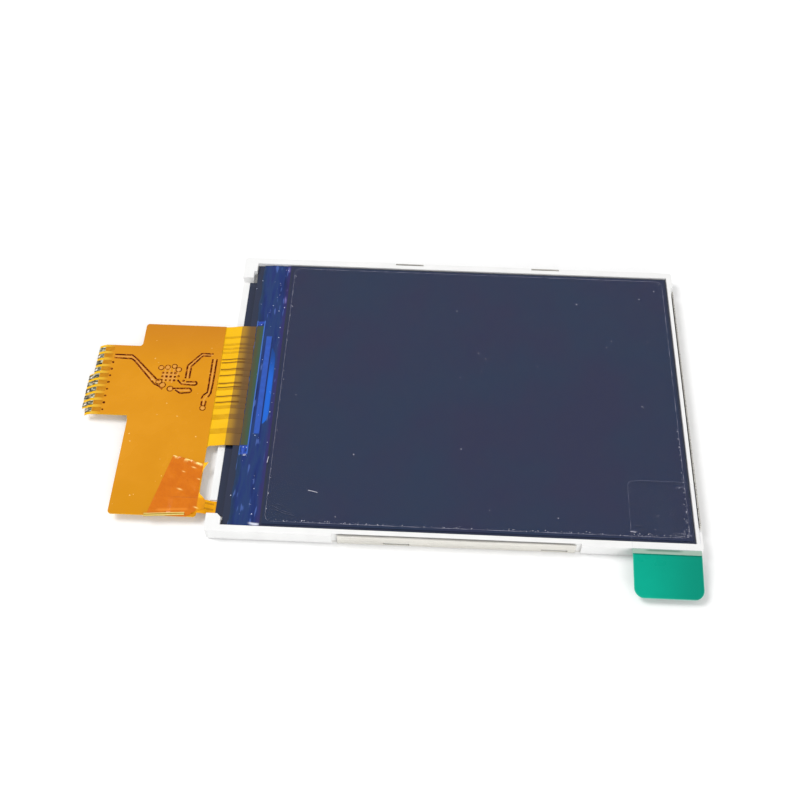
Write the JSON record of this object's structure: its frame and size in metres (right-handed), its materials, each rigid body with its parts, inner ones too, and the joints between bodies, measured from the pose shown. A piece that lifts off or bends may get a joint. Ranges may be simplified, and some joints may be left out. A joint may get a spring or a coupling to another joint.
{
  "type": "tft display module",
  "caption": "Small colour liquid-crystal display module with backlight, driver chip, flexible circuit with solder fingers, and a protective film with a pull tab.",
  "frame": {"origin": "centre of the rear tray's flat back face", "axes": "+X along the module, away from the flexible circuit; +Z out of the screen; +Y completes the right-handed frame"},
  "size_m": [0.0725, 0.0457, 0.0019],
  "materials": {
    "rear_tray": "bright rolled stainless sheet",
    "frame": "moulded white polycarbonate, satin",
    "reflector": "silvered white polyester film",
    "light_guide": "clear moulded acrylic",
    "led_1": "white housing with a yellow phosphor window",
    "led_2": "white housing with a yellow phosphor window",
    "led_3": "white housing with a yellow phosphor window",
    "led_4": "white housing with a yellow phosphor window",
    "led_strip": "yellow polyimide flexible circuit",
    "diffuser": "frosted polyester sheet",
    "lower_prism_sheet": "ribbed polyester sheet",
    "upper_prism_sheet": "ribbed polyester sheet",
    "rim_tape": "black double-sided tape",
    "rear_polarizer": "dark polarizing film",
    "array_glass": "thin clear display glass",
    "filter_glass": "display glass with its colour filter",
    "front_polarizer": "dark polarizing film, hard coated",
    "driver_chip": "bare silicon, polished",
    "ledge_resin": "clear blue ultraviolet-cured resin, glossy",
    "flex_base": "yellow polyimide film",
    "flex_copper": "etched copper foil",
    "flex_coverlay": "orange polyimide coverlay",
    "solder_fingers": "dull tin plating",
    "joint_solder": "bright solder",
    "joint_tape": "deep orange polyimide tape",
    "protective_film": "clear soft polyethylene film",
    "pull_tape": "clear adhesive tape",
    "pull_grip": "teal green translucent polyester"
  },
  "bodies": {
    "root": {"rear_tray": "rear_tray", "frame": "frame", "reflector": "reflector", "light_guide": "light_guide", "led_1": "led_1", "led_2": "led_2", "led_3": "led_3", "led_4": "led_4", "led_strip": "led_strip", "diffuser": "diffuser", "lower_prism_sheet": "lower_prism_sheet", "upper_prism_sheet": "upper_prism_sheet", "rim_tape": "rim_tape", "rear_polarizer": "rear_polarizer", "array_glass": "array_glass", "filter_glass": "filter_glass", "front_polarizer": "front_polarizer", "driver_chip": "driver_chip", "ledge_resin": "ledge_resin", "flex_base": "flex_base", "flex_copper": "flex_copper", "flex_coverlay": "flex_coverlay", "solder_fingers": "solder_fingers", "joint_solder": "joint_solder", "joint_tape": "joint_tape", "protective_film": "protective_film", "pull_tape": "pull_tape", "pull_grip": "pull_grip"}
  },
  "joints": []
}
